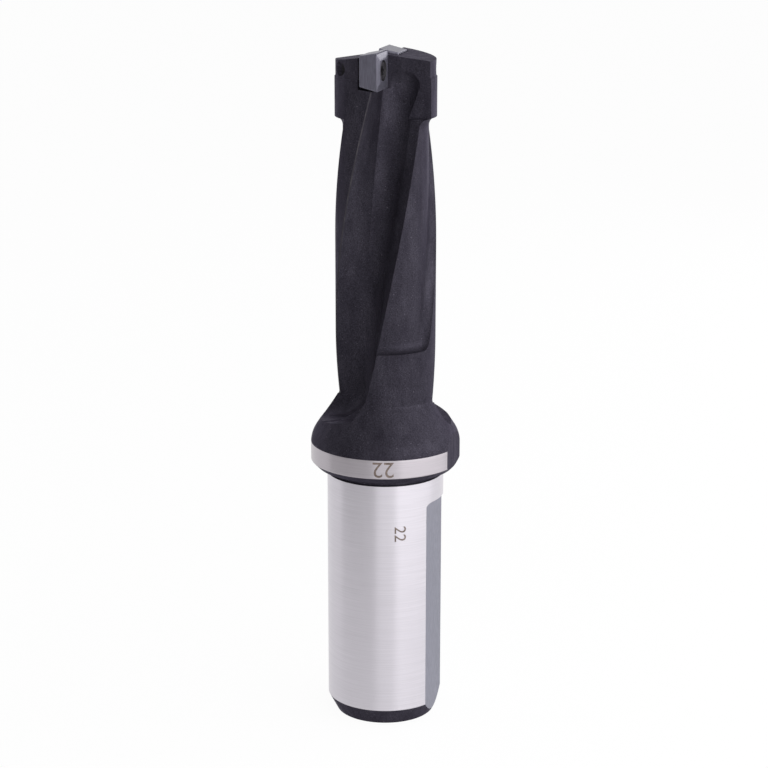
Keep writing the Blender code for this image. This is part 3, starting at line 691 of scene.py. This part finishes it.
def torx_outline():
    """Six round lobes between the recess's inner and outer radii."""
    middle = (TORX_OUTER_RADIUS + TORX_INNER_RADIUS) / 2
    swing = (TORX_OUTER_RADIUS - TORX_INNER_RADIUS) / 2
    points = []
    for i in range(TORX_STEPS):
        angle = 2 * math.pi * i / TORX_STEPS
        radius = middle + swing * math.cos(6 * angle)
        points.append(Vector((radius * math.cos(angle), radius * math.sin(angle))))
    return points


def make_screw(name, place, finish):
    """A countersunk insert screw with a six-lobed recess and turned thread grooves."""
    shank = SCREW_RADIUS
    top = INSERT_PLATEAU_HEIGHT - SCREW_HEAD_SINK
    rim = top - SCREW_HEAD_RIM
    neck = rim - (SCREW_HEAD_RADIUS - shank) / math.tan(SINK_HALF_ANGLE)
    tip = top - SCREW_LENGTH
    head = SCREW_HEAD_RADIUS
    profile = [(0, top), (head - SMALL_EDGE, top), (head, top - SMALL_EDGE), (head, rim), (shank, neck)]
    height = neck - 2 * SCREW_THREAD_PITCH
    while height > tip + SCREW_TIP_CHAMFER + SCREW_THREAD_PITCH:
        profile += [(shank, height), (shank - SCREW_THREAD_DEPTH, height - SCREW_THREAD_PITCH / 2)]
        height -= SCREW_THREAD_PITCH
    profile += [(shank, tip + SCREW_TIP_CHAMFER), (shank - SCREW_TIP_CHAMFER, tip), (0, tip)]
    screw = add_object(name, turned_mesh(name, profile, SMALL_TURNED_STEPS, [finish]))
    sections = [(top - TORX_DEPTH, 0, torx_outline()), (top + CUTTER_MARGIN, 0, torx_outline())]
    cut(screw, loft_mesh(name + "_recess", sections, finish))
    apply_cuts(screw)
    screw.data.transform(place)
    smooth(screw)
    return screw


def make_mark(name, size, radius, azimuth, height, turn, finish):
    """The plain size number, marked on a round surface."""
    curve = bpy.data.curves.new(name, "FONT")
    curve.body = MARK_TEXT
    curve.size = size
    curve.align_x = "CENTER"
    curve.align_y = "CENTER"
    curve.resolution_u = LETTER_STEPS
    letters = add_object(name + "_letters", curve)
    bpy.context.view_layer.update()
    mesh = bpy.data.meshes.new_from_object(letters)
    bpy.data.objects.remove(letters)
    bm = bmesh.new()
    bm.from_mesh(mesh)
    bm.transform(Matrix.Rotation(turn, 4, "Z"))
    across = (1, 0, 0)
    for place in heights_between(-size, size, MARK_STRIP):
        geometry = bm.verts[:] + bm.edges[:] + bm.faces[:]
        bmesh.ops.bisect_plane(bm, geom=geometry, dist=1e-7, plane_co=(place, 0, 0), plane_no=across)
    for vert in bm.verts:
        angle = azimuth + vert.co.x / radius
        vert.co = (radius * math.cos(angle), radius * math.sin(angle), height + vert.co.y)
    bm.to_mesh(mesh)
    bm.free()
    mesh.materials.clear()
    mesh.materials.append(finish)
    return add_object(name, mesh)


def new_material(name, colour, roughness, metallic=0, specular=0.5):
    """A material with its shader's plain values, its node tree and its shader."""
    material = bpy.data.materials.new(name)
    material.use_nodes = True
    shader = material.node_tree.nodes["Principled BSDF"]
    shader.inputs["Base Color"].default_value = (*colour, 1)
    shader.inputs["Roughness"].default_value = roughness
    shader.inputs["Metallic"].default_value = metallic
    shader.inputs["Specular IOR Level"].default_value = specular
    return material, material.node_tree, shader


def place_noise(tree, scales, detail=2, roughness=0.5):
    """A noise in the object's own places, with its own scale along each axis, per metre."""
    places = tree.nodes.new("ShaderNodeTexCoord")
    mapping = tree.nodes.new("ShaderNodeMapping")
    mapping.inputs["Scale"].default_value = scales
    noise = tree.nodes.new("ShaderNodeTexNoise")
    noise.inputs["Scale"].default_value = 1
    noise.inputs["Detail"].default_value = detail
    noise.inputs["Roughness"].default_value = roughness
    tree.links.new(places.outputs["Object"], mapping.inputs["Vector"])
    tree.links.new(mapping.outputs["Vector"], noise.inputs["Vector"])
    return noise.outputs["Fac"]


def ramp(tree, factor, stops):
    """A colour ramp. A stop is (place, colour)."""
    node = tree.nodes.new("ShaderNodeValToRGB")
    elements = node.color_ramp.elements
    while len(elements) < len(stops):
        elements.new(0.5)
    for element, (place, colour) in zip(elements, stops):
        element.position = place
        element.color = (*colour, 1)
    tree.links.new(factor, node.inputs["Fac"])
    return node.outputs["Color"]


def spread(tree, factor, low, high):
    """A factor from 0.3 to 0.7 spread over two values."""
    node = tree.nodes.new("ShaderNodeMapRange")
    node.inputs["From Min"].default_value = 0.3
    node.inputs["From Max"].default_value = 0.7
    node.inputs["To Min"].default_value = low
    node.inputs["To Max"].default_value = high
    tree.links.new(factor, node.inputs["Value"])
    return node.outputs["Result"]


def mixed(tree, factor, first, second, mode="MIX"):
    """Two colours mixed by a factor."""
    node = tree.nodes.new("ShaderNodeMix")
    node.data_type = "RGBA"
    node.blend_type = mode
    node.inputs["Factor"].default_value = factor
    tree.links.new(first, node.inputs["A"])
    tree.links.new(second, node.inputs["B"])
    return node.outputs["Result"]


def add_bump(tree, shader, height, strength, distance):
    """Fine relief in the surface's shading."""
    bump = tree.nodes.new("ShaderNodeBump")
    bump.inputs["Strength"].default_value = strength
    bump.inputs["Distance"].default_value = distance
    tree.links.new(height, bump.inputs["Height"])
    tree.links.new(bump.outputs["Normal"], shader.inputs["Normal"])


def black_oxide():
    """Blackened steel: purple-grey, mottled, with fine grain and pale specks."""
    name = "black oxide steel"
    material, tree, shader = new_material(name, OXIDE_PALE, 0.45, OXIDE_METALLIC, OXIDE_SPECULAR)
    shader.inputs["Specular Tint"].default_value = (*OXIDE_EDGE_TINT, 1)
    mottle = place_noise(tree, (260, 260, 90), 4, 0.6)
    cloud = ramp(tree, mottle, [(0.32, OXIDE_DARK), (0.7, OXIDE_PALE)])
    grain = place_noise(tree, (4200, 4200, 4200), 2, 0.6)
    fine = ramp(tree, grain, [(0.3, (0.64, 0.64, 0.64)), (0.7, (1.48, 1.48, 1.48))])
    speck_places = place_noise(tree, (3000, 3000, 3000), 2, 0.6)
    specks = ramp(tree, speck_places, [(0.68, (0, 0, 0)), (0.78, OXIDE_SPECK)])
    grained = mixed(tree, 1, cloud, fine, "MULTIPLY")
    tree.links.new(mixed(tree, 1, grained, specks, "ADD"), shader.inputs["Base Color"])
    gloss = place_noise(tree, (700, 700, 160), 3)
    tree.links.new(spread(tree, gloss, 0.44, 0.6), shader.inputs["Roughness"])
    lines = place_noise(tree, (3600, 3600, 260), 2)
    add_bump(tree, shader, mixed(tree, 0.35, grain, lines), 0.8, 0.00006)
    return material


def edge_wear_and_highlight():
    """The thin, slightly paler line along an edge: partly wear of the oxide, partly a painted highlight.
    """
    material, tree, shader = new_material("edge wear and painted highlight", EDGE_PALE, 0.45, 0.5, 0.2)
    wear_and_highlight_noise = place_noise(tree, (900, 900, 420), 3)
    shades = ramp(tree, wear_and_highlight_noise, [(0.5, EDGE_DARK), (0.8, EDGE_PALE)])
    tree.links.new(shades, shader.inputs["Base Color"])
    return material


def ground_steel(name, shade):
    """Ground steel: fine lines run round the shank, so that reflections stretch along it."""
    material, tree, shader = new_material(name, shade, GROUND_ROUGHNESS, 1)
    shader.inputs["Anisotropic"].default_value = 0.8
    shader.inputs["Anisotropic Rotation"].default_value = 0.25
    tangent = tree.nodes.new("ShaderNodeTangent")
    tangent.direction_type = "RADIAL"
    tangent.axis = "Z"
    tree.links.new(tangent.outputs["Tangent"], shader.inputs["Tangent"])
    lines = place_noise(tree, (90, 90, 9000), 2)
    colour = Vector(shade)
    shades = ramp(tree, lines, [(0.3, colour * 0.93), (0.7, colour * 1.05)])
    tree.links.new(shades, shader.inputs["Base Color"])
    add_bump(tree, shader, lines, 0.1, 0.00001)
    return material


def milled_steel():
    """The milled flat: duller, bluish, with a fine grain."""
    material, tree, shader = new_material("milled steel", MILLED_COLOUR, 0.42, 1)
    grain = place_noise(tree, (2500, 2600, 700), 3)
    colour = Vector(MILLED_COLOUR)
    shades = ramp(tree, grain, [(0.3, colour * 0.85), (0.7, colour * 1.12)])
    tree.links.new(shades, shader.inputs["Base Color"])
    add_bump(tree, shader, grain, 0.15, 0.00001)
    return material


def cemented_carbide():
    """Ground carbide: lavender grey with faint diagonal scratches."""
    material, tree, shader = new_material("cemented carbide", CARBIDE_COLOUR, 0.38, 0.7)
    scratch = place_noise(tree, (2600, 2600, 500), 2)
    colour = Vector(CARBIDE_COLOUR)
    shades = ramp(tree, scratch, [(0.3, colour * 0.85), (0.75, colour * 1.15)])
    tree.links.new(shades, shader.inputs["Base Color"])
    add_bump(tree, shader, scratch, 0.2, 0.00001)
    return material


def dark_screw_steel():
    """Dark hardened screw steel with a slightly uneven gloss."""
    material, tree, shader = new_material("dark screw steel", SCREW_COLOUR, 0.35, 0.8)
    gloss = place_noise(tree, (1500, 1500, 1500))
    tree.links.new(spread(tree, gloss, 0.28, 0.45), shader.inputs["Roughness"])
    return material


def laser_mark():
    """Brown-grey laser marking, slightly uneven."""
    material, tree, shader = new_material("laser mark", MARK_DARK, 0.55, 0.3)
    burn = place_noise(tree, (2400, 2400, 2400), 2)
    tree.links.new(ramp(tree, burn, [(0.35, MARK_DARK), (0.7, MARK_PALE)]), shader.inputs["Base Color"])
    return material


def painted_hole_shade():
    """Painted shade: a near-black colour on the inside of holes and countersinks, where shade falls."""
    material, tree, shader = new_material("painted hole shade", HOLE_SHADE_DARK, 0.5, 0, 0.2)
    shade_noise = place_noise(tree, (1800, 1800, 1800), 2)
    shades = ramp(tree, shade_noise, [(0.35, HOLE_SHADE_DARK), (0.7, HOLE_SHADE_PALE)])
    tree.links.new(shades, shader.inputs["Base Color"])
    return material


def background_rays(tree):
    """1 for rays that should see the white background: from the camera, metal and glass."""
    path = tree.nodes.new("ShaderNodeLightPath")
    seen = path.outputs["Is Camera Ray"]
    for name in ("Is Glossy Ray", "Is Transmission Ray"):
        either = tree.nodes.new("ShaderNodeMath")
        either.operation = "MAXIMUM"
        tree.links.new(seen, either.inputs[0])
        tree.links.new(path.outputs[name], either.inputs[1])
        seen = either.outputs["Value"]
    return seen


def add_camera():
    """The camera at the photograph's place."""
    data = bpy.data.cameras.new("camera")
    data.lens = CAMERA_LENS
    data.sensor_width = 36
    data.shift_x = CAMERA_SHIFT
    data.clip_start = 0.01
    data.clip_end = 20
    camera = add_object("camera", data)
    aim = Matrix.Rotation(CAMERA_AZIMUTH, 4, "Z") @ Matrix.Rotation(math.pi / 2 - CAMERA_PITCH, 4, "X")
    camera.matrix_world = Matrix.Translation(CAMERA_PLACE) @ aim @ Matrix.Rotation(CAMERA_ROLL, 4, "Z")
    bpy.context.scene.camera = camera


def add_softbox(name, azimuth, distance, middle, size, brightness):
    """A soft light that faces the drill. Its azimuth is from the camera, and positive to the right."""
    data = bpy.data.lights.new(name, "AREA")
    data.shape = "RECTANGLE"
    data.size, data.size_y = size
    data.energy = brightness * math.pi * size[0] * size[1]
    light = add_object(name, data)
    turn = math.atan2(CAMERA_PLACE[1], CAMERA_PLACE[0]) + azimuth
    light.location = (distance * math.cos(turn), distance * math.sin(turn), middle)
    light.rotation_euler = (Vector(AIM) - light.location).to_track_quat("-Z", "Y").to_euler()
    light.visible_camera = False


def add_card():
    """A grey card at the drill's left, out of the picture, so that metal has something to reflect."""
    material, _, _ = new_material("card", CARD_COLOUR, 0.9)
    card = add_object("card", block_mesh("card", *CARD_BOX, material))
    turn = math.atan2(CAMERA_PLACE[1], CAMERA_PLACE[0]) + CARD_AZIMUTH
    card.location = (CARD_DISTANCE * math.cos(turn), CARD_DISTANCE * math.sin(turn), 0)
    card.rotation_euler = (0, 0, turn - math.pi / 2)
    card.visible_camera = False


def add_world():
    """Plain light from all round, and a white background for the camera and for reflections."""
    world = bpy.data.worlds.new("studio")
    bpy.context.scene.world = world
    world.use_nodes = True
    tree = world.node_tree
    plain = tree.nodes["Background"]
    plain.inputs["Color"].default_value = (1, 1, 1, 1)
    plain.inputs["Strength"].default_value = WORLD_LIGHT
    white = tree.nodes.new("ShaderNodeBackground")
    white.inputs["Color"].default_value = (1, 1, 1, 1)
    white.inputs["Strength"].default_value = 1
    choice = tree.nodes.new("ShaderNodeMixShader")
    tree.links.new(background_rays(tree), choice.inputs[0])
    tree.links.new(plain.outputs["Background"], choice.inputs[1])
    tree.links.new(white.outputs["Background"], choice.inputs[2])
    tree.links.new(choice.outputs["Shader"], tree.nodes["World Output"].inputs["Surface"])


def add_floor():
    """A pale floor that melts into the background and keeps the drill's shadow."""
    material, tree, shader = new_material("floor", FLOOR_COLOUR, 0.9)
    white = tree.nodes.new("ShaderNodeEmission")
    white.inputs["Color"].default_value = (1, 1, 1, 1)
    share = tree.nodes.new("ShaderNodeMath")
    share.operation = "MULTIPLY"
    share.inputs[1].default_value = FLOOR_WHITE
    choice = tree.nodes.new("ShaderNodeMixShader")
    tree.links.new(background_rays(tree), share.inputs[0])
    tree.links.new(share.outputs["Value"], choice.inputs[0])
    tree.links.new(shader.outputs["BSDF"], choice.inputs[1])
    tree.links.new(white.outputs["Emission"], choice.inputs[2])
    tree.links.new(choice.outputs["Shader"], tree.nodes["Material Output"].inputs["Surface"])
    floor = add_object("floor", block_mesh("floor", *FLOOR_BOX, material))


def main():
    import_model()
    bpy.context.scene.view_settings.view_transform = "Standard"

    oxide = black_oxide()
    carbide = cemented_carbide()
    screw_steel = dark_screw_steel()
    peripheral = pocket_frame(0, PERIPHERAL_RADIUS, INSERT_HEIGHT)
    central = pocket_frame(math.pi, CENTRAL_RADIUS, INSERT_HEIGHT - CENTRAL_INSERT_DROP)
    pockets = (
        ("peripheral", peripheral, PERIPHERAL_RADIUS, False),
        ("central", central, CENTRAL_RADIUS, True),
    )
    # Near-black painted shade for the inside of holes
    hollow = painted_hole_shade()
    ground = ground_steel("ground shank", GROUND_COLOUR)
    band = ground_steel("ground band", BAND_COLOUR)
    body = make_body(oxide, ground, band, milled_steel(), edge_wear_and_highlight(), hollow, pockets)
    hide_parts("drill_body")
    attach(body, "root")
    for name, place, _, _ in pockets:
        insert = make_insert(name + "_carbide", place, carbide, hollow)
        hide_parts(name + "_insert")
        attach(insert, "root")
        screw = make_screw(name + "_screw", place, screw_steel)
        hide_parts(name + "_insert_screw")
        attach(screw, "root")

    marking = laser_mark()
    for name, size, radius, place, turn in (
        ("band_number", BAND_MARK_SIZE, FLANGE_RADIUS, BAND_MARK_PLACE, BAND_MARK_TURN),
        ("shank_number", SHANK_MARK_SIZE, SHANK_RADIUS, SHANK_MARK_PLACE, SHANK_MARK_TURN),
    ):
        mark = make_mark(name, size, radius + MARK_RISE, *place, turn, marking)
        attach(mark, "root")

    add_camera()
    add_world()
    for softbox in SOFTBOXES:
        add_softbox(*softbox)
    add_card()
    add_floor()


main()
